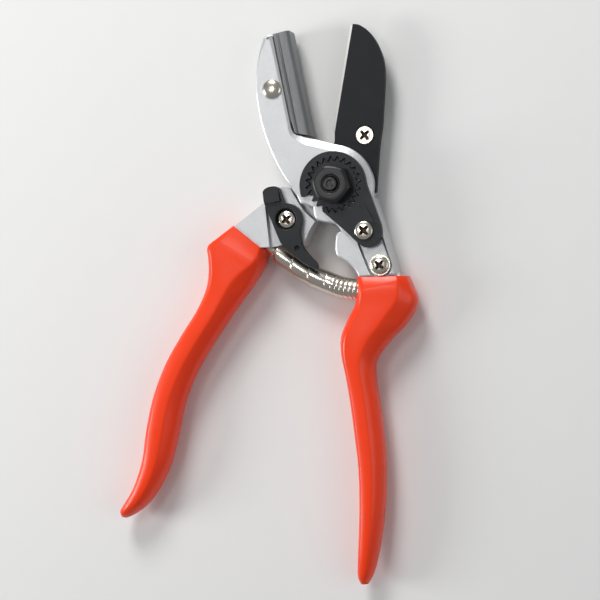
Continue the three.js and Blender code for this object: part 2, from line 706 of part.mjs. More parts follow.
function latch() {

	const shape = new THREE.Shape();
	shape.moveTo( - 24.9, - 11.2 );
	shape.lineTo( - 26.0, - 6.9 );
	shape.splineThru( spline( [ - 25.4, - 5.6 ], [ - 23.5, - 4.4 ], [ - 21.6, - 4.1 ], [ - 20.5, - 4.8 ] ) );
	shape.lineTo( - 18.0, - 9.3 );
	shape.absarc( ...LATCH_AT, LATCH_HUB_R, degToRad( 106 ), degToRad( - 16 ), true );
	shape.splineThru( spline(
		[ - 9.9, - 20.2 ], [ - 8.8, - 23.0 ], [ - 7.2, - 25.2 ], [ - 4.3, - 27.6 ], [ - 1.9, - 29.4 ],
	) );
	shape.splineThru( spline(
		[ - 1.3, - 30.8 ], [ - 2.0, - 31.8 ], [ - 4.6, - 30.9 ], [ - 10.3, - 28.0 ], [ - 14.2, - 26.2 ],
		[ - 16.6, - 24.0 ],
	) );
	shape.lineTo( - 21.0, - 17.2 );
	shape.lineTo( - 24.9, - 11.2 );
	const tab = polygon( [
		[ - 26.0, - 6.9 ], [ - 24.9, - 10.6 ], [ - 19.0, - 9.0 ],
		[ - 20.6, - 4.8 ], [ - 23.4, - 4.5 ], [ - 25.4, - 5.7 ],
	] );
	return cut(
		add( plate( shape, LATCH_BACK, LATCH_FRONT ), plate( tab, LATCH_FRONT - 1, TAB_TOP ) ),
		disc( LATCH_AT, SCREW_HEAD_R + 0.4, LATCH_WELL, HIGH, 32 ),
		disc( LATCH_AT, SCREW_R + FIT, LOW, HIGH, 24 ),
	);

}

function detentPlunger() {

	return turned( DETENT_AT, [
		[ 0, 7.6 ], [ DETENT_R, 7.6 ], [ DETENT_R, 10.4 ], [ 0.6, 11.0 ], [ 0, 11.1 ],
	], 16 );

}

// ---------- spring, in the frame of the whole object ----------

function spring( route ) {

	const circle = new THREE.Shape();
	circle.absarc( 0, 0, SPRING_R, 0, 2 * Math.PI, false );
	const hollow = new THREE.Path();
	hollow.absarc( 0, 0, SPRING_R - SPRING_WALL, 0, 2 * Math.PI, true );
	circle.holes.push( hollow );
	const points = route.map( ( [ x, y ] ) => new THREE.Vector3( x, y, SPRING_Z ) );
	const extrudePath = new THREE.CatmullRomCurve3( points );
	return toSolid( new THREE.ExtrudeGeometry( circle, { extrudePath, steps: 16, curveSegments: 6 } ) );

}

// ---------- the whole ----------

const anvilSide = new THREE.Group();
anvilSide.rotation.z = OPENING / 2;
anvilSide.add(
	mesh( 'anvil_arm', anvilArm(), forgedAluminium ),
	mesh( 'anvil', anvil(), anvilMetal ),
	mesh( 'anvil_rivet', rivet(), nickel ),
	mesh( 'right_grip', grip( RIGHT_GRIP_STATIONS, RIGHT_SEAT ), redVinyl ),
	mesh( 'pivot_bolt', pivotBolt(), blackSteel ),
	mesh( 'thrust_washer', ring( [ 0, 0 ], SHANK_R + FIT, THRUST_R, HEAD_TOP, THRUST_TOP ), bronze ),
	mesh( 'spacer_washer', ring( [ 0, 0 ], SHANK_R + FIT, SPACER_R, BLADE_TOP, SPACER_TOP ), bronze ),
	mesh( 'toothed_washer', toothedWasher(), blackSteel ),
	mesh( 'pivot_nut', pivotNut(), blackSteel ),
	mesh( 'locking_plate', lockingPlate(), blackCoating ),
	mesh( 'locking_plate_screw', screw( PLATE_SCREW_AT, PLATE_TOP, 4 ), nickel ),
	mesh( 'adjuster_bar', adjusterBar(), forgedAluminium ),
	mesh( 'adjuster_washer', adjusterWasher(), nickel ),
	mesh( 'adjuster_screw', screw( BAR_SCREW_AT, BAR_WASHER_TOP, 4, BAR_SCREW_HEAD_R ), nickel ),
	mesh( 'right_spring_seat', springSeat( RIGHT_SEAT ), nickel ),
);

const bladeSide = new THREE.Group();
bladeSide.rotation.z = - OPENING / 2;
bladeSide.add(
	mesh( 'blade_arm', bladeArm(), forgedAluminium ),
	mesh( 'blade', blade(), blackCoating ),
	mesh( 'blade_screw', bladeScrew(), nickel ),
	mesh( 'blade_nut', bladeNut(), nickel ),
	mesh( 'pivot_bush', ring( [ 0, 0 ], SHANK_R + FIT, BUSH_R, THRUST_TOP, BLADE_TOP ), bronze ),
	mesh( 'left_grip', grip( LEFT_GRIP_STATIONS, LEFT_SEAT ), redVinyl ),
	mesh( 'latch', latch(), blackCoating ),
	mesh( 'latch_washer', ring( LATCH_AT, SCREW_R + FIT, LATCH_WASHER_R, POCKET_FLOOR, LATCH_BACK ), nickel ),
	mesh( 'latch_screw', screw( LATCH_AT, LATCH_WELL, 5 ), nickel ),
	mesh( 'detent_plunger', detentPlunger(), nickel ),
	mesh( 'left_spring_seat', springSeat( LEFT_SEAT ), nickel ),
);

// A point of an arm, moved to where it is in the whole object at rest.
function placed( [ x, y ], group ) {

	const at = new THREE.Vector2( x, y ).rotateAround( new THREE.Vector2(), group.rotation.z );
	return [ at.x, at.y ];

}

const springRoute = [
	placed( extend( LEFT_SEAT, 0.3 ), bladeSide ),
	placed( extend( LEFT_SEAT, 5.6 ), bladeSide ),
	[ - 13.0, - 31.6 ],
	[ - 4.6, - 35.6 ],
	placed( extend( RIGHT_SEAT, 5.6 ), anvilSide ),
	placed( extend( RIGHT_SEAT, 0.3 ), anvilSide ),
];

const shears = new THREE.Group();
shears.add( anvilSide, bladeSide, mesh( 'spring', spring( springRoute ), nickel ) );

export default shears;
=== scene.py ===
"""Anvil pruning shears: the looks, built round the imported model.

Shapes are written in millimetres. As in the model, each arm is drawn closed, with the line where blade and
anvil meet at x = CUT_X, and is then swung outwards by half of the opening. Meshes are stored in metres.
"""

import math

import bmesh
import bpy
from mathutils import Matrix, Vector
from mathutils.geometry import interpolate_bezier


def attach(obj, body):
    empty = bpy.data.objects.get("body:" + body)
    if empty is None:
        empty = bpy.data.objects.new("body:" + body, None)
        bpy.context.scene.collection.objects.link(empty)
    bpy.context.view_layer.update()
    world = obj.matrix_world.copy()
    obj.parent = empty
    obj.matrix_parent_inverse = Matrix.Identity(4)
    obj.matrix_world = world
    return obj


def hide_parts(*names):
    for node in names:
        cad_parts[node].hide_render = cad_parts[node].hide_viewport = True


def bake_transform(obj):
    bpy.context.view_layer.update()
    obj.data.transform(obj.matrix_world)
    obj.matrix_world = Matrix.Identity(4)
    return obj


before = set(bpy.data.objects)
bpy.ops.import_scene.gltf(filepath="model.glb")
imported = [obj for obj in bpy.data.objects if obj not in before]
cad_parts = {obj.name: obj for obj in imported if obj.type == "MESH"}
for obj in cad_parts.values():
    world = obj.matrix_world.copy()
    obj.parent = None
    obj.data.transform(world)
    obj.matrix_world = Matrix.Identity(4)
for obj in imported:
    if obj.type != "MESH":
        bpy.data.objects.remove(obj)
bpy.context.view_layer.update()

# ---------- driving dimensions, mm ----------

MM = 0.001
OPENING = math.radians(21.7)
CUT_X, CUT_GAP = -5.7, 0.15
ARM_BACK, ARM_FRONT = 1.6, 13.6
SPACER_TOP = 9.2
THRUST_TOP, CARRIER_TOP, BLADE_TOP = 2.4, 6.4, 8.8
POCKET_FLOOR = 11.0
CHANNEL_FLOOR, BAR_TOP = 11.4, 13.2
TOOTHED_TOP, PLATE_TOP = 15.2, 15.8
NUT_TOP, BOLT_TOP = 20.2, 21.0
ANVIL_BACK, ANVIL_FRONT = 3.1, 12.1
LATCH_BACK, LATCH_WELL, LATCH_FRONT, TAB_TOP = 11.3, 12.6, 14.8, 16.0
GRIP_MID = 7.6
TANG_LOW, TANG_HIGH = 3.6, 11.6
HUB_R, HUB_RELIEF_R = 13.6, 14.0
SCREW_HOLE_R, BUSH_HOLE_R = 1.8, 5.5
TOOTH_COUNT, TOOTH_ROOT_R, TOOTH_TIP_R = 24, 8.6, 10.15
CHAMFER_SLOPE = 0.5  # fall of a chamfer over its width
RIVET_AT = (-15.9, 39.9)
PLATE_SCREW_AT = (7.9, -19.0)
BAR_SCREW_AT = (10.6, -32.4)
BLADE_SCREW_AT = (6.9, 19.9)
LATCH_AT = (-15.9, -15.4)
RIGHT_SEAT = ((6.2, -41.7), (-0.5, -39.3))
LEFT_SEAT = ((-23.6, -26.2), (-20.0, -27.8))
SPRING_Z, SPRING_R = 6.8, 3.3
ANVIL_SIDE = Matrix.Rotation(OPENING / 2, 4, "Z")
BLADE_SIDE = Matrix.Rotation(-OPENING / 2, 4, "Z")
WHOLE = Matrix.Identity(4)


# ---------- outlines ----------

def smooth(points, steps=8):
    """A smooth run through the points, without its last one."""
    run = []
    for i in range(len(points) - 1):
        a = Vector(points[max(i - 1, 0)])
        b, c = Vector(points[i]), Vector(points[i + 1])
        d = Vector(points[min(i + 2, len(points) - 1)])
        run += interpolate_bezier(b, b + (c - a) / 6, c - (d - b) / 6, c, steps + 1)[:-1]
    return [(p[0], p[1]) for p in run]


def arc(at, radius, start, end, steps=48):
    """Points round a circle, from one angle to another in degrees, ends included."""
    turns = [math.radians(start + (end - start) * i / steps) for i in range(steps + 1)]
    return [(at[0] + radius * math.cos(a), at[1] + radius * math.sin(a)) for a in turns]


def flat(points, spacing=1.0):
    """Straight runs between the points, in stretches near the spacing, without the last point."""
    run = []
    for a, b in zip(points, points[1:]):
        a, b = Vector(a), Vector(b)
        pieces = max(1, round((b - a).length / spacing))
        run += [a.lerp(b, i / pieces).to_tuple() for i in range(pieces)]
    return run


# ---------- mesh helpers ----------

def new_object(name, bm, side=WHOLE):
    bmesh.ops.recalc_face_normals(bm, faces=bm.faces)
    mesh = bpy.data.meshes.new(name)
    bm.to_mesh(mesh)
    bm.free()
    mesh.transform(Matrix.Scale(MM, 4) @ side)
    obj = bpy.data.objects.new(name, mesh)
    bpy.context.scene.collection.objects.link(obj)
    return obj


def plate(outline, low, high, name="tool"):
    """A straight plate of the outline between two levels."""
    bm = bmesh.new()
    below = [bm.verts.new((x, y, low)) for x, y in outline]
    above = [bm.verts.new((x, y, high)) for x, y in outline]
    bm.faces.new(below)
    bm.faces.new(above)
    count = len(outline)
    for i in range(count):
        j = (i + 1) % count
        bm.faces.new((below[i], below[j], above[j], above[i]))
    return new_object(name, bm)


def rings_object(name, rings, side=WHOLE):
    """A skin over rings of points, with the first and the last of them capped."""
    bm = bmesh.new()
    rows = [[bm.verts.new(p) for p in ring] for ring in rings]
    around = len(rows[0])
    for lower, upper in zip(rows, rows[1:]):
        for i in range(around):
            j = (i + 1) % around
            bm.faces.new((lower[i], lower[j], upper[j], upper[i]))
    bm.faces.new(rows[0])
    bm.faces.new(rows[-1])
    return new_object(name, bm, side)


def turned(name, at, profile, sides=64, side=WHOLE):
    """A round piece about a vertical axis, from its (radius, level) profile."""
    rings = []
    for radius, level in profile:
        rings.append([(x, y, level) for x, y in arc(at, max(radius, 0.02), 0, 360, sides)[:-1]])
    return rings_object(name, rings, side)


def bake(obj):
    """Turns what the modifiers make into the object's own mesh."""
    graph = bpy.context.evaluated_depsgraph_get()
    mesh = bpy.data.meshes.new_from_object(obj.evaluated_get(graph))
    obj.modifiers.clear()
    obj.data = mesh


def combine(target, tools, operation):
    """Joins the tools to the target, or cuts them out of it, and removes them."""
    for tool in tools:
        modifier = target.modifiers.new("combine", "BOOLEAN")
        modifier.object = tool
        modifier.operation = operation
        modifier.solver = "EXACT"
        bake(target)
        bpy.data.objects.remove(tool)
    return target


def join(target, *tools):
    return combine(target, tools, "UNION")


def cut(target, *tools):
    return combine(target, tools, "DIFFERENCE")


def hole(at, radius, low=-5, high=30, sides=40):
    return plate(arc(at, radius, 0, 360, sides)[:-1], low, high)


def clean(obj):
    """Merges what booleans leave behind, so that flat faces are single faces."""
    bm = bmesh.new()
    bm.from_mesh(obj.data)
    bmesh.ops.remove_doubles(bm, verts=bm.verts, dist=0.00002)
    bmesh.ops.dissolve_limit(bm, angle_limit=math.radians(0.4), verts=bm.verts, edges=bm.edges)
    bm.to_mesh(obj.data)
    bm.free()


def soften(obj, width, segments=3, angle=32):
    """Rounds the edges and shades the rest smooth."""
    clean(obj)
    modifier = obj.modifiers.new("round", "BEVEL")
    modifier.width = width * MM
    modifier.segments = segments
    modifier.limit_method = "ANGLE"
    modifier.angle_limit = math.radians(angle)
    shade_smooth(obj)
    obj.data.set_sharp_from_angle(angle=math.radians(21))
    return obj


def place(obj, name, side):
    """Swings a piece that was drawn closed out to where it stands at rest."""
    obj.data.transform(side)
    obj.name = obj.data.name = name
    return obj


def shade_smooth(obj):
    for polygon in obj.data.polygons:
        polygon.use_smooth = True
    return obj


# ---------- materials ----------

def material(name, base, metallic, roughness, *, grain=900, depth=0.05, vary=0.12, stretch=(1, 1, 1),
             coat=0.0, rough_vary=0.12, speckle=0.0, rotate=0.0, specular=0.5):
    """A procedural finish: slow colour drift, fine grain in bump and roughness, and stretched marks."""
    made = bpy.data.materials.new(name)
    made.use_nodes = True
    nodes, links = made.node_tree.nodes, made.node_tree.links
    shader = nodes["Principled BSDF"]
    shader.inputs["Metallic"].default_value = metallic
    shader.inputs["Specular IOR Level"].default_value = specular
    shader.inputs["Coat Weight"].default_value = coat
    shader.inputs["Coat Roughness"].default_value = 0.12
    place_node = nodes.new("ShaderNodeTexCoord")
    mapping = nodes.new("ShaderNodeMapping")
    mapping.inputs["Scale"].default_value = stretch
    mapping.inputs["Rotation"].default_value = (0, 0, rotate)
    links.new(place_node.outputs["Object"], mapping.inputs["Vector"])

    def noise(scale, detail, source=mapping.outputs["Vector"]):
        node = nodes.new("ShaderNodeTexNoise")
        node.inputs["Scale"].default_value = scale
        node.inputs["Detail"].default_value = detail
        links.new(source, node.inputs["Vector"])
        return node.outputs["Fac"]

    def remap(source, low, high):
        node = nodes.new("ShaderNodeMapRange")
        node.inputs["To Min"].default_value = low
        node.inputs["To Max"].default_value = high
        links.new(source, node.inputs["Value"])
        return node.outputs["Result"]

    drift = noise(120, 3, place_node.outputs["Object"])
    fine = noise(grain, 4)
    tint = nodes.new("ShaderNodeMix")
    tint.data_type = "RGBA"
    tint.inputs["A"].default_value = (*[c * (1 - vary) for c in base], 1)
    tint.inputs["B"].default_value = (*[min(c * (1 + vary), 1) for c in base], 1)
    links.new(drift, tint.inputs["Factor"])
    colour = tint.outputs["Result"]
    if speckle:
        dust = nodes.new("ShaderNodeMix")
        dust.data_type = "RGBA"
        dust.inputs["B"].default_value = (*[min(c * 2.2 + 0.03, 1) for c in base], 1)
        threshold = nodes.new("ShaderNodeMapRange")
        threshold.inputs["From Min"].default_value = 0.62
        threshold.inputs["From Max"].default_value = 0.75
        threshold.inputs["To Max"].default_value = speckle
        links.new(noise(grain * 0.7, 6, place_node.outputs["Object"]), threshold.inputs["Value"])
        links.new(threshold.outputs["Result"], dust.inputs["Factor"])
        links.new(colour, dust.inputs["A"])
        colour = dust.outputs["Result"]
    links.new(colour, shader.inputs["Base Color"])
    rough = remap(fine, roughness * (1 - rough_vary), roughness * (1 + rough_vary))
    links.new(rough, shader.inputs["Roughness"])
    bump = nodes.new("ShaderNodeBump")
    bump.inputs["Strength"].default_value = depth
    bump.inputs["Distance"].default_value = 0.0004
    links.new(fine, bump.inputs["Height"])
    links.new(bump.outputs["Normal"], shader.inputs["Normal"])
    return made


FORGED = material("forged aluminium", (0.62, 0.625, 0.63), 0.6, 0.42, grain=1400, depth=0.22, vary=0.05,
                  speckle=0.1)
ANVIL_BAR = material("anvil bar", (0.22, 0.225, 0.23), 0.75, 0.42, grain=2600, depth=0.25, vary=0.06,
                     stretch=(1, 0.03, 1), rotate=-OPENING / 2)
BLADE_COAT = material("blade coating", (0.013, 0.0135, 0.015), 0.0, 0.5, grain=2600, depth=0.12, vary=0.2,
                      speckle=0.12, specular=0.22)
GROUND = material("ground edge", (0.80, 0.78, 0.74), 0.35, 0.38, grain=2200, depth=0.12, vary=0.05,
                  stretch=(0.1, 1, 1))
BLACK = material("black coating", (0.017, 0.0185, 0.021), 0.0, 0.42, grain=2200, depth=0.18, vary=0.25,
                 speckle=0.18, specular=0.32)
DARK_STEEL = material("blackened steel", (0.016, 0.015, 0.015), 0.1, 0.34, grain=1800, depth=0.14, vary=0.25,
                      speckle=0.2, specular=0.45)
NICKEL = material("nickel", (0.74, 0.68, 0.59), 1.0, 0.22, grain=1600, depth=0.05, vary=0.06)
# painted shade: the faces inside a cross recess get this darker brown instead of nickel, standing in for the
# shade that falls into the recess
RECESS_PAINTED_SHADE = material("screw recess painted shade", (0.10, 0.075, 0.05), 0.6, 0.5, grain=2400, depth=0.1, vary=0.2)
BRONZE = material("bronze", (0.42, 0.28, 0.12), 1.0, 0.35, grain=1600, depth=0.08)
VINYL = material("red vinyl", (0.92, 0.045, 0.0015), 0.0, 0.34, grain=420, depth=0.05, vary=0.05,
                 coat=0.12, rough_vary=0.2, specular=0.38)
FLOOR = material("pale floor", (0.80, 0.795, 0.78), 0.0, 0.7, grain=300, depth=0.02, vary=0.01)


def wear(obj, finish, body, slot, *replaced):
    """Gives a piece its finish, its body and the model's nodes that it stands for. The slot is not used."""
    obj.data.materials.clear()
    obj.data.materials.append(finish)
    if body:
        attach(obj, body)
    if replaced:
        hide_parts(*replaced)
    return obj


# ---------- anvil arm ----------

JAW_BACK = [(-15.2, 59.6), (-19.3, 51.5), (-21.8, 42.4), (-22.7, 32.9), (-22.0, 22.5), (-19.6, 11.4),
            (-15.8, 1.4), (-14.8, -0.9)]
HUB_EDGE = [(12.7, -7.4), (14.2, -1.8), (13.9, 2.4), (12.5, 6.6), (10.0, 10.2), (6.7, 12.9), (1.5, 15.4),
            (-3.8, 18.0), (-6.2, 19.0)]
TANG_NECK = [(-0.9, -17.2), (-2.7, -17.6), (-3.7, -19.7), (-4.6, -23.8), (-4.2, -25.9), (-2.6, -27.5)]


def anvil_arm_outline():
    return (
        smooth([(-12.0, 59.4), (-13.2, 60.1), (-15.2, 59.6)], 4)
        + smooth(JAW_BACK)
        + flat([(-14.8, -0.9), (-14.0, -3.9), (-9.6, -6.3), (-9.8, -9.2)])
        + smooth([(-9.8, -9.2), (-9.2, -10.9), (-7.1, -12.3), (-2.8, -14.2), (-0.9, -17.2)], 5)
        + smooth(TANG_NECK, 5)
        + smooth([(-2.6, -27.5), (-0.6, -29.4), (1.1, -32.2), (2.0, -35.0)], 5)
        + flat([(2.0, -35.0), (15.3, -37.0), (15.4, -36.2), (12.7, -7.4)], 2)
        + smooth(HUB_EDGE)
        + flat([(-6.2, 19.0), (-10.2, 21.1)], 1)
        + smooth([(-10.2, 21.1), (-11.4, 22.1), (-12.0, 24.0)], 4)
        + flat([(-12.0, 24.0), (-12.0, 59.4)], 2)
    )


def front_roll(x, y):
    """How far in from the outline the front face begins: wide round the hub, narrow elsewhere."""
    if y > 56.0:
        return 1.3
    if y > 24.0 and -12.6 < x < -11.0:
        return 0.85
    if y > -9.0 and x > -12.5 and math.hypot(x, y) > 13.0:
        rise = min(1.0, max(0.0, (x + 12.6) / 5.0))
        fall = min(1.0, max(0.0, (y + 9.0) / 11.0))
        return 0.8 + 1.9 * rise * fall
    return 0.55


def chamfered_plate(outline, low, high, roll):
    """A plate whose upper edge is sloped off, by an amount that changes along the outline."""
    count = len(outline)
    area = sum(x * b - a * y for (x, y), (a, b) in zip(outline, outline[1:] + outline[:1]))
    inward = []
    for i, (x, y) in enumerate(outline):
        before, after = Vector(outline[i - 1]), Vector(outline[(i + 1) % count])
        along = (after - before).normalized() * math.copysign(1, area)
        inward.append(Vector((-along.y, along.x)))
    amount = [roll(x, y) for x, y in outline]
    for _ in range(4):
        amount = [(amount[i - 1] + 2 * amount[i] + amount[(i + 1) % count]) / 4 for i in range(count)]
    rings = [[(x, y, low) for x, y in outline]]
    for share in (0.0, 1.0):
        ring = []
        for (x, y), way, r in zip(outline, inward, amount):
            at = Vector((x, y)) + way * r * share
            ring.append((at.x, at.y, high - CHAMFER_SLOPE * r * (1 - share)))
        rings.append(ring)
    return rings_object("chamfered", rings)


def tang_end(stations, low, high):
    """A short square stub from an arm into its grip."""
    left, right = Vector(stations[0][0]), Vector(stations[0][1])
    along = (right - left).normalized()
    down = Vector((along.y, -along.x))
    near, far = left + along * 2.6, right - along * 2.6
    corners = [near - down, far - down, far + down * 6, near + down * 6]
    return plate([c.to_tuple() for c in corners], low, high)


def build_anvil_arm():
    outline = anvil_arm_outline()
    arm = chamfered_plate(outline, SPACER_TOP, ARM_FRONT, front_roll)
    back = plate(outline, ARM_BACK, SPACER_TOP + 0.5)
    cut(
        back,
        hole((0, 0), HUB_RELIEF_R, sides=96),
        plate([(CUT_X - 0.6, -7.4), (20, -7.4), (20, 30), (CUT_X - 0.6, 30)], 0, 20),
        plate([(-30, -16.5), (-1.5, -16.5), (-1.5, 0.2), (-30, 0.2)], 0, 20),
    )
    join(arm, back, tang_end(RIGHT_STATIONS, TANG_LOW, TANG_HIGH))
    channel = (
        flat([(3.4, -15), (4.2, -24.4), (5.7, -33.0)], 3)
        + arc((10.4, -32.4), 4.7, 187, 350, 20)
        + [(13.6, -21.0), (11.6, -13.0)]
    )
    tongue_slot = plate([(-19.7, 32.7), (-6, 32.7), (-6, 46.3), (-19.7, 46.3)], 5.3, 9.9)
    cut(
        arm, tongue_slot, plate(channel, CHANNEL_FLOOR, 20), hole((0, 0), 4.3), hole(RIVET_AT, 2.0),
        hole(PLATE_SCREW_AT, SCREW_HOLE_R, 3), hole(BAR_SCREW_AT, SCREW_HOLE_R, 3),
    )
    place(arm, "anvil_arm_forging", ANVIL_SIDE)
    soften(arm, 0.3, 3)
    wear(arm, FORGED, "anvil_arm", "forged_aluminium", "anvil_arm")


# ---------- grips ----------

# left edge, right edge, half thickness, how round the section is
RIGHT_STATIONS = [
    ((0.4, -34.7), (19.1, -38.2), 6.7, 0.10),
    ((0.2, -38.6), (19.9, -42.2), 7.5, 0.10),
    ((-2.2, -44.2), (20.5, -48.4), 7.5, 0.15),
    ((-6.9, -50.0), (15.2, -54.8), 7.5, 0.25),
    ((-10.2, -55.2), (7.4, -60.2), 7.5, 0.35),
    ((-11.4, -61.8), (1.2, -66.0), 7.4, 0.45),
    ((-11.4, -69.5), (-0.5, -71.6), 7.2, 0.5),
    ((-11.8, -79.6), (-1.0, -80.0), 7.0, 0.55),
    ((-12.6, -91.0), (-1.8, -91.0), 7.0, 0.55),
    ((-13.8, -104.0), (-3.5, -104.4), 7.0, 0.55),
    ((-16.3, -117.6), (-6.4, -117.0), 6.8, 0.6),
    ((-18.9, -128.4), (-9.6, -127.2), 6.4, 0.65),
    ((-21.2, -137.0), (-13.1, -136.2), 5.6, 0.8),
    ((-22.4, -142.6), (-16.4, -142.8), 4.2, 1.0),
    ((-21.8, -145.6), (-19.2, -146.0), 2.0, 1.0),
]
LEFT_STATIONS = [
    ((-36.1, -20.8), (-23.1, -27.8), 6.7, 0.10),
    ((-41.0, -25.9), (-23.0, -33.0), 7.5, 0.10),
    ((-44.9, -30.1), (-24.2, -37.4), 7.5, 0.10),
    ((-44.3, -34.2), (-25.8, -41.4), 7.5, 0.15),
    ((-43.3, -39.6), (-28.2, -46.2), 7.5, 0.25),
    ((-43.3, -46.2), (-31.2, -52.0), 7.4, 0.35),
    ((-45.6, -54.6), (-34.8, -59.8), 7.4, 0.45),
    ((-50.0, -64.6), (-39.2, -69.8), 7.2, 0.5),
    ((-54.4, -76.2), (-42.8, -79.8), 7.0, 0.55),
    ((-57.2, -89.4), (-45.0, -90.6), 7.0, 0.55),
    ((-57.9, -102.6), (-45.6, -102.4), 7.0, 0.55),
    ((-57.6, -114.6), (-46.6, -113.8), 6.8, 0.6),
    ((-59.2, -124.8), (-49.2, -123.0), 6.4, 0.65),
    ((-61.8, -131.6), (-53.0, -130.8), 5.6, 0.8),
    ((-63.4, -135.2), (-57.6, -135.6), 4.0, 1.0),
    ((-62.6, -137.2), (-60.2, -137.4), 2.0, 1.0),
]
# half of a grip's section from its left side over the front to its right side, as shares of its reach:
# at the collar, and further down, where the front narrows to a ridge
RIGHT_SECTIONS = (
    [(-1.0, 0.0), (-1.0, 0.6), (-0.9, 0.94), (-0.78, 1.0), (0.66, 1.0), (0.97, 0.6), (1.0, 0.3), (1.0, 0.0)],
    [(-1.0, 0.0), (-1.0, 0.5), (-0.86, 0.92), (-0.72, 1.0), (0.24, 1.0), (0.9, 0.52), (1.0, 0.2), (1.0, 0.0)],
)
LEFT_SECTIONS = (
    [(-1.0, 0.0), (-1.0, 0.7), (-0.96, 0.95), (-0.86, 1.0), (0.84, 1.0), (0.97, 0.8), (1.0, 0.4), (1.0, 0.0)],
    [(-1.0, 0.0), (-1.0, 0.4), (-0.92, 0.78), (-0.68, 1.0), (0.26, 1.0), (0.88, 0.52), (1.0, 0.2),
     (1.0, 0.0)],
)


def along_stations(stations, t):
    """Left edge, right edge, half thickness and roundness at t, which counts stations."""
    i = min(int(t), len(stations) - 2)
    near = [stations[min(max(i + k, 0), len(stations) - 1)] for k in (-1, 0, 1, 2)]
    f = t - i

    def blend(values):
        a, b, c, d = values
        bend, twist = 2 * a - 5 * b + 4 * c - d, 3 * b - a - 3 * c + d
        return 0.5 * (2 * b + (c - a) * f + bend * f * f + twist * f ** 3)

    left = Vector([blend([s[0][k] for s in near]) for k in (0, 1)])
    right = Vector([blend([s[1][k] for s in near]) for k in (0, 1)])
    return left, right, blend([s[2] for s in near]), blend([s[3] for s in near])


def section_points(half, passes=2):
    """The whole section as points that are evenly spaced along each of its sides, with its corners eased."""
    outline = half + [(x, -y) for x, y in half[-2:0:-1]]
    outline.append(outline[0])
    shares = [4, 6, 4, 36, 10, 4, 4]
    points = []
    for (a, b), count in zip(zip(outline, outline[1:]), shares + shares[::-1]):
        points += [Vector(a).lerp(Vector(b), i / count) for i in range(count)]
    for _ in range(passes):
        last = len(points)
        points = [(points[i - 1] + points[i] * 2 + points[(i + 1) % last]) / 4 for i in range(last)]
    return points


def grip_ring(stations, sections, t, shrink, fall, change):
    """One section of a grip between its edges, drawn in by shrink on every side.

    The front falls off towards the collar by up to fall, most on the left. The section goes from the collar's
    to the lower one between the two stations of change.
    """
    left, right, half, soft = along_stations(stations, t)
    soft = min(max(soft, 0.0), 1.0)
    half = min(half, GRIP_MID - 0.05) - shrink
    middle, reach = (left + right) / 2, (right - left) / 2
    reach = reach * (1 - shrink / reach.length)
    share = min(max((t - change[0]) / (change[1] - change[0]), 0.0), 1.0)
    share = share * share * (3 - 2 * share)
    ring = []
    for upper, lower in zip(*sections):
        point = upper.lerp(lower, share)
        even = point.lerp(point.normalized(), soft)
        drop = max(0.0, 0.85 - 0.55 * even.x - t) * fall
        at = middle + reach * even.x
        ring.append((at.x, at.y, GRIP_MID + even.y * (half - drop * max(even.y, 0.0))))
    return ring


def build_grip(name, stations, halves, fall, change, side, body, node):
    sections = [section_points(half) for half in halves]
    last = len(stations) - 1
    # station, and how far drawn in: the mouth round the tang, the length of the grip, and its rounded end
    spans = [(0.04, 1.9), (0.0, 1.5), (0.0, 0.35), (0.01, 0.1), (0.04, 0.0)]
    spans += [(0.1 + (last - 0.1) * i / 150, 0.0) for i in range(151)]
    spans += [(last, 0.45), (last, 0.95)]
    rings = [grip_ring(stations, sections, t, shrink, fall, change) for t, shrink in spans]
    piece = rings_object(name, rings, side)
    shade_smooth(piece)
    wear(piece, VINYL, body, "red_vinyl", node)


# ---------- anvil ----------

def build_anvil():
    section = [  # across the bar: how far in from the face, and level
        (0.0, ANVIL_BACK + 0.3), (0.0, 10.9), (0.9, ANVIL_FRONT - 0.15), (1.6, ANVIL_FRONT),
        (4.0, ANVIL_FRONT), (4.25, 11.7), (4.6, 11.7), (4.85, ANVIL_FRONT - 0.1),
        (6.2, ANVIL_FRONT - 0.1), (6.2, ANVIL_BACK + 0.3), (5.9, ANVIL_BACK), (0.3, ANVIL_BACK),
    ]
    rings = []
    for t in [i / 12 for i in range(13)]:
        rings.append([
            (CUT_X - inward, (19.9 + inward * 0.42) * (1 - t) + 60.2 * t, level)
            for inward, level in section
        ])
    piece = rings_object("anvil_bar", rings)
    notch = plate([(-13, 20), (-10.2, 20), (-11.4, 23.0), (-11.6, 26.4), (-13, 28.2)], 0, 20)
    cut(piece, notch)
    join(piece, plate([(-19.3, 33), (-10.5, 33), (-10.5, 46), (-19.3, 46)], 5.6, 9.6))
    place(piece, "anvil_bar", ANVIL_SIDE)
    soften(piece, 0.3, 3)
    wear(piece, ANVIL_BAR, "anvil_arm", "anvil_metal", "anvil")


# ---------- pivot stack ----------

def toothed_outline(grow=0.0):
    tooth = ((0, TOOTH_ROOT_R), (0.16, TOOTH_ROOT_R), (0.5, TOOTH_TIP_R), (0.66, TOOTH_TIP_R))
    points = []
    for i in range(TOOTH_COUNT):
        for part, radius in tooth:
            a = (i + part) / TOOTH_COUNT * 2 * math.pi
            points.append(((radius + grow) * math.cos(a), (radius + grow) * math.sin(a)))
    return points


def build_toothed_washer():
    piece = cut(plate(toothed_outline(), ARM_FRONT, TOOTHED_TOP), hole((0, 0), 2.8))
    place(piece, "toothed_lock_washer", ANVIL_SIDE)
    soften(piece, 0.16, 2)
    wear(piece, BLACK, "anvil_arm", "black_steel", "toothed_washer")


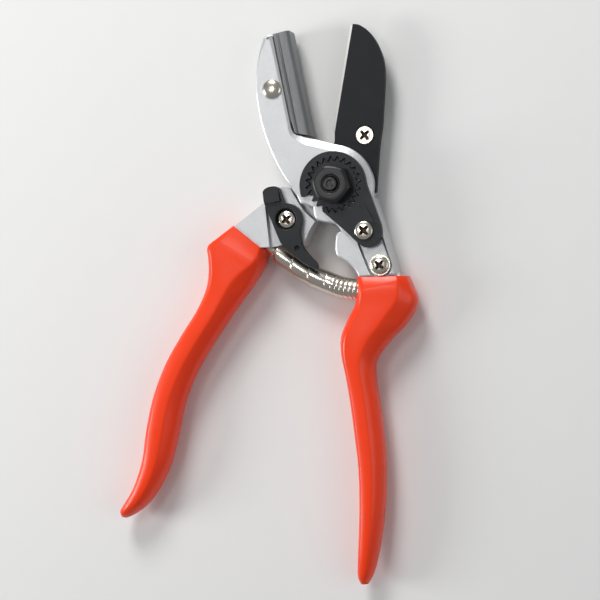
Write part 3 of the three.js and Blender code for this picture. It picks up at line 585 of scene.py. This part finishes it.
def build_nut():
    """A six-sided nut whose corners are turned down into a low dome."""
    flats, corners, softness = 6.5, 7.45, 3.2
    levels = [  # height on the washer, and how far the dome reaches past the corners
        (0.0, 0.0), (0.15, 0.25), (1.2, 0.3), (2.4, 0.3), (3.2, 0.25), (3.8, 0.0), (4.3, -0.5), (4.65, -1.1),
        (4.9, -1.8), (5.0, -2.5),
    ]
    rings = []
    for rise, swell in levels:
        ring = []
        for i in range(96):
            a = 2 * math.pi * i / 96
            wedge = (a + math.pi / 6) % (math.pi / 3) - math.pi / 6
            hexagon = min(flats / math.cos(wedge), corners)
            dome = corners + swell
            radius = min(hexagon, dome)
            if swell < 0:
                radius = (hexagon ** -softness * 0.5 + dome ** -softness * 0.5) ** (-1 / softness)
            ring.append((radius * math.cos(a), radius * math.sin(a), TOOTHED_TOP + rise))
        rings.append(ring)
    for radius, drop in ((4.6, 0.03), (3.5, 0.05), (3.3, 0.35), (2.75, 0.4), (2.75, 4.0)):
        rings.append([(x, y, NUT_TOP - drop) for x, y in arc((0, 0), radius, 0, 360, 96)[:-1]])
    piece = rings_object("rounded_nut", rings)
    spin = Matrix.Rotation(math.radians(8), 4, "Z")
    place(piece, "rounded_nut", ANVIL_SIDE @ spin)
    soften(piece, 0.22, 2, 40)
    wear(piece, DARK_STEEL, "anvil_arm", "black_steel", "pivot_nut")


def build_bolt():
    profile = [
        (0, 0.0), (6.9, 0.0), (7.5, 0.15), (7.9, 0.6), (8.0, 1.9), (7.9, 2.0), (4.0, 2.0), (4.0, ARM_FRONT),
        (2.5, ARM_FRONT),
    ]
    turns = 10
    pitch = (BOLT_TOP - 0.7 - ARM_FRONT) / turns
    for i in range(turns):
        profile += [(2.5, ARM_FRONT + pitch * (i + 0.25)), (2.28, ARM_FRONT + pitch * (i + 0.75))]
    profile += [
        (2.5, BOLT_TOP - 0.6), (2.42, BOLT_TOP - 0.15), (2.2, BOLT_TOP), (1.3, BOLT_TOP),
        (1.1, BOLT_TOP - 0.25), (0, BOLT_TOP - 0.25),
    ]
    piece = turned("pivot_bolt_turned", (0, 0), profile, 72, ANVIL_SIDE)
    soften(piece, 0.1, 2, 40)
    wear(piece, DARK_STEEL, "anvil_arm", "black_steel", "pivot_bolt")


def build_locking_plate():
    arm = (
        flat([(-6.4, -8.2), (0.5, -17.0), (5.0, -23.4)], 2)
        + smooth([(5.0, -23.4), (7.0, -25.1), (9.8, -25.4), (12.4, -24.2), (14.1, -21.7), (14.5, -18.1)], 6)
        + flat([(14.5, -18.1), (12.6, -5.6), (11.9, -1.0), (0, 0)], 2)
    )
    disk = cut(
        plate(arc((-0.3, -0.2), 12.5, 0, 360, 120)[:-1], ARM_FRONT, PLATE_TOP),
        plate([(0, 0), (-20, -2.9), (-20, -26), (0, -14)], 0, 20),
    )
    piece = join(disk, plate(arm, ARM_FRONT, PLATE_TOP))
    cut(piece, plate(toothed_outline(0.35), 0, 20), hole(PLATE_SCREW_AT, SCREW_HOLE_R))
    place(piece, "locking_plate_pressed", ANVIL_SIDE)
    soften(piece, 0.35, 3)
    wear(piece, BLACK, "anvil_arm", "black_coating", "locking_plate")
    ridge = plate(
        smooth([(7.6, -9.0), (9.9, -9.6), (11.4, -13.4), (12.4, -17.5)], 6)
        + [(12.4, -17.5), (11.7, -17.6)]
        + smooth([(11.7, -17.6), (10.4, -13.8), (9.2, -10.6), (7.6, -9.9), (7.6, -9.0)], 6),
        PLATE_TOP - 0.3, PLATE_TOP + 0.28,
    )
    place(ridge, "locking_plate_rib", ANVIL_SIDE)
    soften(ridge, 0.2, 2)
    wear(ridge, BLACK, "anvil_arm", "black_coating")


# ---------- screws and rivet ----------

def cross_tool(at, top, reach, wide, deep, spin):
    """The tapered four-winged shape of a cross recess."""
    outline = cross_outline(reach, wide)
    rings = []
    for grow, level in ((0.45, top - deep), (1, top + 0.05), (1.02, top + 1.0)):
        rings.append([(x * grow, y * grow, level) for x, y in outline])
    tool = rings_object("tool", rings)
    turn = Matrix.Rotation(math.radians(spin), 4, "Z")
    tool.data.transform(Matrix.Translation(Vector((*at, 0)) * MM) @ turn)
    return tool


def cross_outline(reach, wide):
    quarter = [(reach, -wide), (reach * 1.04, 0), (reach, wide), (wide * 1.5, wide * 1.5)]
    points = []
    for k in range(4):
        c, s = round(math.cos(k * math.pi / 2)), round(math.sin(k * math.pi / 2))
        points += [(x * c - y * s, x * s + y * c) for x, y in quarter]
    return points


def build_screw(name, at, seat, head, high, spin, side, body, node, tip=5.0, sunk=0.0):
    """A cross-recess screw. One with a sunk head tapers below its seat by that depth."""
    top = seat + high
    profile = [(0, tip), (1.2, tip), (1.5, tip + 0.4), (1.5, seat - sunk)]
    if sunk:
        profile += [(head, seat), (head * 0.97, top - 0.05)]
    else:
        profile += [(head - 0.1, seat), (head, seat + 0.12), (head, seat + high * 0.4)]
        profile.append((head * 0.93, seat + high * 0.75))
    profile += [(head * 0.82, top - 0.12), (head * 0.6, top - 0.03), (head * 0.35, top), (0, top + 0.02)]
    piece = turned(name, at, profile, 64)
    cut(piece, cross_tool(at, top, head * 0.62, head * 0.14, 1.5, spin))
    clean(piece)
    sunken = [p.index for p in piece.data.polygons if in_recess(p.center / MM, at, head, top)]
    place(piece, name, side)
    wear(piece, NICKEL, body, "nickel", node)
    # painted shade: the faces found inside the cross recess get the darker brown finish, so the recess reads
    # dark
    piece.data.materials.append(RECESS_PAINTED_SHADE)
    for index in sunken:
        piece.data.polygons[index].material_index = 1
    shade_smooth(piece)
    piece.data.set_sharp_from_angle(angle=math.radians(30))


def in_recess(centre, at, head, top):
    near = math.hypot(centre.x - at[0], centre.y - at[1]) < head * 0.64
    return near and top - 1.6 < centre.z < top - 0.09


def build_rivet():
    profile = [
        (0, 0.75), (2.0, 0.75), (2.7, 1.1), (2.8, ARM_BACK), (1.7, ARM_BACK), (1.7, ARM_FRONT),
        (3.6, ARM_FRONT),
    ]
    for i in range(13):
        a = math.pi / 2 * i / 12
        profile.append((3.65 * math.cos(a), ARM_FRONT + 0.25 + 1.25 * math.sin(a)))
    piece = turned("domed_rivet", RIVET_AT, profile, 64)
    place(piece, "domed_rivet", ANVIL_SIDE)
    soften(piece, 0.08, 2, 40)
    wear(piece, NICKEL, "anvil_arm", "nickel", "anvil_rivet")


def build_adjuster_bar():
    outline = (
        flat([(4.2, -17.0), (4.8, -24.4), (6.3, -32.6)], 2)
        + arc((10.4, -32.4), 4.1, 187, 350, 24)
        + flat([(12.9, -21.0), (11.3, -15.2), (4.2, -17.0)], 2)
    )
    piece = plate(outline, CHANNEL_FLOOR, BAR_TOP)
    cut(piece, hole(PLATE_SCREW_AT, SCREW_HOLE_R), hole(BAR_SCREW_AT, SCREW_HOLE_R))
    place(piece, "adjuster_tongue", ANVIL_SIDE)
    soften(piece, 0.4, 3)
    wear(piece, FORGED, "anvil_arm", "forged_aluminium", "adjuster_bar")


# ---------- blade arm ----------

def build_blade_arm():
    top = [(-2.7, 13.4), (-2.2, 18.0), (-0.4, 22.8), (3.0, 26.6), (7.5, 27.9), (11.0, 26.6), (11.9, 24.0)]
    heel = [(-20.3, -3.6), (-17.6, -4.0), (-15.4, -6.1), (-13.2, -8.5), (-10.4, -11.4), (-5.7, -14.4)]
    carrier = (
        smooth(top, 6)
        + smooth([(11.9, 24.0), (12.0, 17.2), (12.6, 8.6), (13.5, 1.4)], 4)
        + arc((0, 0), HUB_R, 4, -111, 56)
        + [(-5.7, -14.4), (-8.0, -18.0), (-18.5, -8.5), (-15.4, -6.1)]
        + arc((0, 0), HUB_R, 207, 101.4, 48)
    )
    rim = [(-25.3, -27.5), (-36.0, -21.6)]
    edge = [(-32.6, -18.3), (-28.5, -13.9), (-25.3, -10.5)]
    tang = (
        flat(rim + edge + [(-20.3, -3.6)], 2)
        + smooth(heel, 6)
        + flat([(-5.7, -14.4), (-7.2, -17.7), (-8.7, -24.0)], 2)
        + smooth([(-8.7, -24.0), (-14.0, -24.2), (-20.1, -26.4), (-25.3, -27.5)], 5)
    )
    raised = flat(rim + edge + [(-20.6, -26.6), rim[0]], 2)
    arm = plate(carrier, THRUST_TOP, CARRIER_TOP)
    join(
        arm,
        plate(tang, ARM_BACK, POCKET_FLOOR),
        plate(raised, ARM_BACK + 0.5, ARM_FRONT),
        tang_end(LEFT_STATIONS, TANG_LOW, TANG_HIGH),
    )
    cut(
        arm, hole((0, 0), BUSH_HOLE_R), hole(BLADE_SCREW_AT, SCREW_HOLE_R), hole(LATCH_AT, SCREW_HOLE_R, 4),
        spring_mouth(),
    )
    place(arm, "blade_arm_forging", BLADE_SIDE)
    soften(arm, 0.5, 3)
    wear(arm, FORGED, "blade_arm", "forged_aluminium", "blade_arm")


def spring_mouth():
    """The round pocket that the spring's end enters."""
    start, face = Vector(LEFT_SEAT[0]), Vector(LEFT_SEAT[1])
    along = (face - start).normalized()
    across = Vector((-along.y, along.x))
    rings = []
    for reach in (-0.6, 16.0):
        centre = face + along * reach
        ring = []
        for i in range(40):
            a = 2 * math.pi * i / 40
            at = centre + across * (SPRING_R + 0.5) * math.cos(a)
            ring.append((at.x, at.y, SPRING_Z + (SPRING_R + 0.5) * math.sin(a)))
        rings.append(ring)
    return rings_object("tool", rings)


def build_blade():
    """The plate stops short of the edge, where two ground bevels meet in the middle of its thickness."""
    bevel = 1.25
    middle = (CARRIER_TOP + BLADE_TOP) / 2
    back = [
        (14.8, 0.0), (13.9, 8.6), (13.1, 17.2), (12.9, 24.0), (12.2, 30.6), (11.4, 38.0), (10.5, 44.0),
        (9.1, 48.4), (7.0, 52.2), (4.3, 55.6), (1.1, 58.2), (-1.9, 59.6), (CUT_X + bevel, 59.6),
    ]
    outline = (
        [(CUT_X + bevel, 19.4), (-3.9, 16.0), (-5.0, 11.0)]
        + arc((0, 0), 12.4, 114, 350, 72)
        + [back[0]]
        + smooth(back, 8)[1:]
        + [back[-1]]
    )
    blade = cut(plate(outline, CARRIER_TOP, BLADE_TOP), hole((0, 0), BUSH_HOLE_R))
    countersink = turned("tool", BLADE_SCREW_AT, [(1.8, 5.0), (1.8, 6.9), (3.75, 8.75), (3.75, 10)], 64)
    cut(blade, countersink)
    place(blade, "blade_plate", BLADE_SIDE)
    soften(blade, 0.16, 2)
    wear(blade, BLADE_COAT, "blade_arm", "blade_coating", "blade")
    edge_x = CUT_X + CUT_GAP
    inner = CUT_X + bevel
    steps = 24
    rings = []
    for i in range(steps + 1):
        t = i / steps
        y_edge = 19.3 + (58.9 - 19.3) * t
        y_inner = 19.45 + (59.5 - 19.45) * t
        rings.append([
            (edge_x, y_edge, middle),
            (inner, y_inner, BLADE_TOP - 0.02), (inner + 0.3, y_inner, BLADE_TOP - 0.1),
            (inner + 0.3, y_inner, CARRIER_TOP + 0.1), (inner, y_inner, CARRIER_TOP + 0.02),
        ])
    ground = rings_object("blade_ground_edge", rings, BLADE_SIDE)
    wear(ground, GROUND, "blade_arm", "blade_coating")


# ---------- latch ----------

def build_latch():
    tail = [
        (-9.9, -20.2), (-8.8, -23.0), (-7.2, -25.2), (-4.3, -27.6), (-1.9, -29.4), (-1.3, -30.8),
        (-2.0, -31.8), (-4.6, -30.9), (-10.3, -28.0), (-14.2, -26.2), (-16.6, -24.0),
    ]
    outline = (
        flat([(-24.9, -11.2), (-26.0, -6.9)], 1.5)
        + smooth([(-26.0, -6.9), (-25.4, -5.6), (-23.5, -4.4), (-21.6, -4.1), (-20.5, -4.8)], 5)
        + flat([(-20.5, -4.8), (-18.0, -9.3)], 1.5)
        + arc(LATCH_AT, 5.9, 106, -16, 30)
        + smooth(tail, 6)
        + flat([(-16.6, -24.0), (-21.0, -17.2), (-24.9, -11.2)], 1.5)
    )
    piece = plate(outline, LATCH_BACK, LATCH_FRONT)
    tab = smooth([(-26.0, -6.9), (-25.4, -5.7), (-23.4, -4.5), (-20.6, -4.8)], 5)
    tab += [(-20.6, -4.8), (-19.0, -9.0), (-21.5, -10.2), (-24.9, -10.6)]
    join(piece, plate(tab, LATCH_FRONT - 1, TAB_TOP))
    wall = [(3.9, LATCH_WELL), (3.9, LATCH_FRONT - 0.4), (4.3, LATCH_FRONT + 0.1), (4.3, 20)]
    well = turned("tool", LATCH_AT, wall)
    dimple = turned("tool", (-9.9, -25.2), [(0.3, 13.9), (0.8, 14.1), (1.0, 14.6), (1.0, 16)], 32)
    cut(piece, well, hole(LATCH_AT, SCREW_HOLE_R), dimple)
    for vertex in piece.data.vertices:  # the tail slopes away from the front
        x, y, z = vertex.co / MM
        run = max(0.0, (x - LATCH_AT[0]) * 0.66 - (y - LATCH_AT[1]) * 0.75 - 9.0) / 13.0
        if z > LATCH_BACK + 0.5:
            vertex.co.z -= 1.6 * min(run, 1.0) * MM
    place(piece, "thumb_latch", BLADE_SIDE)
    soften(piece, 0.7, 4)
    wear(piece, BLACK, "latch", "black_coating", "latch")


# ---------- spring ----------

# across the spring strip: share of its width, and depth below its surface
STRIP = [
    (0.0, 0.22), (0.06, 0.05), (0.12, 0.0), (0.5, 0.0), (0.88, 0.0), (0.94, 0.05), (1.0, 0.22), (1.0, 0.4),
    (0.0, 0.4),
]


def swung(at, side):
    point = side @ Vector((*at, 0))
    return Vector((point.x, point.y, SPRING_Z))


def beyond(seat, distance):
    start, face = Vector(seat[0]), Vector(seat[1])
    return face + (face - start).normalized() * distance


def build_spring():
    """A strip wound into turns that overlap: long ones on the left, short ones on the right."""
    route = [
        swung(beyond(LEFT_SEAT, -1.0), BLADE_SIDE), swung(beyond(LEFT_SEAT, 5.6), BLADE_SIDE),
        Vector((-13.0, -31.6, SPRING_Z)), Vector((-4.6, -35.6, SPRING_Z)),
        swung(beyond(RIGHT_SEAT, 5.6), ANVIL_SIDE), swung(beyond(RIGHT_SEAT, -2.6), ANVIL_SIDE),
    ]
    fine = []
    for i in range(len(route) - 1):
        a, d = route[max(i - 1, 0)], route[min(i + 2, len(route) - 1)]
        b, c = route[i], route[i + 1]
        fine += interpolate_bezier(b, b + (c - a) / 6, c - (d - b) / 6, c, 25)[:-1]
    fine.append(route[-1])
    lengths = [0.0]
    for a, b in zip(fine, fine[1:]):
        lengths.append(lengths[-1] + (b - a).length)
    total = lengths[-1]

    def at_length(s):
        s = min(max(s, 0.0), total)
        i = 0
        while i < len(lengths) - 2 and lengths[i + 1] < s:
            i += 1
        f = (s - lengths[i]) / (lengths[i + 1] - lengths[i])
        return fine[i].lerp(fine[i + 1], f), (fine[i + 1] - fine[i]).normalized()

    around, loose, tight = 56, 7.5, 1.75
    s, k, rings = 0.0, 0, []
    while True:
        share = min(1.0, max(0.0, (s / total - 0.52) / 0.16))
        pitch = loose + (tight - loose) * share * share * (3 - 2 * share)
        wide = pitch * (1.12 - 0.08 * share)
        if s + wide > total:
            break
        angle = 2 * math.pi * k / around
        slope = 0.12 - 0.05 * (1 - share)
        ring = []
        for across, depth in STRIP:
            centre, along = at_length(s + across * wide)
            flank = Vector((-along.y, along.x, 0))
            radius = SPRING_R + 0.35 + 0.4 * min(1.0, s / total * 2.2) - slope * across - depth
            ring.append(centre + flank * radius * math.cos(angle) + Vector((0, 0, radius * math.sin(angle))))
        rings.append(ring)
        s += pitch / around
        k += 1
    piece = rings_object("volute_spring", rings)
    shade_smooth(piece)
    modifier = piece.modifiers.new("crease", "EDGE_SPLIT")
    modifier.split_angle = math.radians(50)
    wear(piece, NICKEL, None, "nickel", "spring")
    return piece, route


# ---------- the rest of the model's own nodes ----------

def finish_nodes():
    finishes = {
        "thrust_washer": BRONZE, "spacer_washer": BRONZE, "pivot_bush": BRONZE, "latch_washer": NICKEL,
        "adjuster_washer": NICKEL, "blade_nut": NICKEL, "detent_plunger": NICKEL, "right_spring_seat": NICKEL,
        "left_spring_seat": NICKEL,
    }
    for node, finish in finishes.items():
        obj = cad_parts[node]
        obj.data.materials.clear()
        obj.data.materials.append(finish)


# ---------- scene ----------

def build_stage():
    reach, level = 900, -0.02
    corners = ((-reach, -reach), (reach, -reach), (reach, reach), (-reach, reach))
    bm = bmesh.new()
    bm.faces.new([bm.verts.new((x, y, level)) for x, y in corners])
    floor = new_object("floor", bm)
    floor.data.materials.append(FLOOR)
    world = bpy.data.worlds.new("studio")
    world.use_nodes = True
    sky = world.node_tree.nodes["Background"]
    sky.inputs["Color"].default_value = (0.93, 0.96, 1.0, 1)
    sky.inputs["Strength"].default_value = 0.27
    bpy.context.scene.world = world
    add_light("key", (-0.2, 0.78, 0.62), 0.4, 6.5)
    add_light("fill", (0.75, -0.1, 0.65), 0.6, 1.2)
    add_light("rim", (-0.75, -0.1, 0.33), 0.3, 2.9)
    add_light("overhead", (-0.22, 0.12, 0.85), 0.22, 0.75)


def add_light(name, at, size, power):
    light = bpy.data.lights.new(name, "AREA")
    light.shape = "DISK"
    light.size = size
    light.energy = power
    obj = bpy.data.objects.new(name, light)
    obj.location = at
    obj.rotation_euler = (-Vector(at)).to_track_quat("-Z", "Y").to_euler()
    bpy.context.scene.collection.objects.link(obj)


def build_camera():
    """Looks almost straight down at the shears, leaning a little to their right."""
    lean, roll = math.radians(15.0), math.radians(-1.08)
    aim, distance, lens = Vector((-0.0155, -0.0420, 0.0076)), 0.7038, 113.5
    turn = Matrix.Rotation(roll, 4, "Z") @ Matrix.Rotation(lean, 4, "Y")
    back = turn @ Vector((0, 0, 1))
    data = bpy.data.cameras.new("camera")
    data.lens = lens
    data.sensor_width = 36.0
    data.clip_start = 0.01
    camera = bpy.data.objects.new("camera", data)
    camera.matrix_world = Matrix.Translation(aim + back * distance) @ turn
    bpy.context.scene.collection.objects.link(camera)
    bpy.context.scene.camera = camera


build_camera()
build_stage()
bpy.context.scene.view_settings.view_transform = "Standard"

build_anvil_arm()
build_grip("right_grip_vinyl", RIGHT_STATIONS, RIGHT_SECTIONS, 0.7, (0.4, 3.0),
           ANVIL_SIDE, "anvil_arm", "right_grip")
build_anvil()
build_toothed_washer()
build_nut()
build_bolt()
build_locking_plate()
build_adjuster_bar()
build_rivet()
build_screw("plate_cross_screw", PLATE_SCREW_AT, PLATE_TOP, 3.5, 1.3, 34,
            ANVIL_SIDE, "anvil_arm", "locking_plate_screw")
build_screw("tongue_cross_screw", BAR_SCREW_AT, BAR_TOP + 0.5, 3.3, 1.3, 38,
            ANVIL_SIDE, "anvil_arm", "adjuster_screw")

build_blade_arm()
build_blade()
build_grip("left_grip_vinyl", LEFT_STATIONS, LEFT_SECTIONS, 0.0, (0.2, 4.8),
           BLADE_SIDE, "blade_arm", "left_grip")
build_screw("blade_cross_screw", BLADE_SCREW_AT, 8.72, 3.4, 0.3, 52,
            BLADE_SIDE, "blade_arm", "blade_screw", tip=0.75, sunk=1.8)
build_screw("latch_cross_screw", LATCH_AT, LATCH_WELL, 3.4, 1.5, 48,
            BLADE_SIDE, "blade_arm", "latch_screw")

build_latch()
spring, route = build_spring()
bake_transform(spring)
finish_nodes()
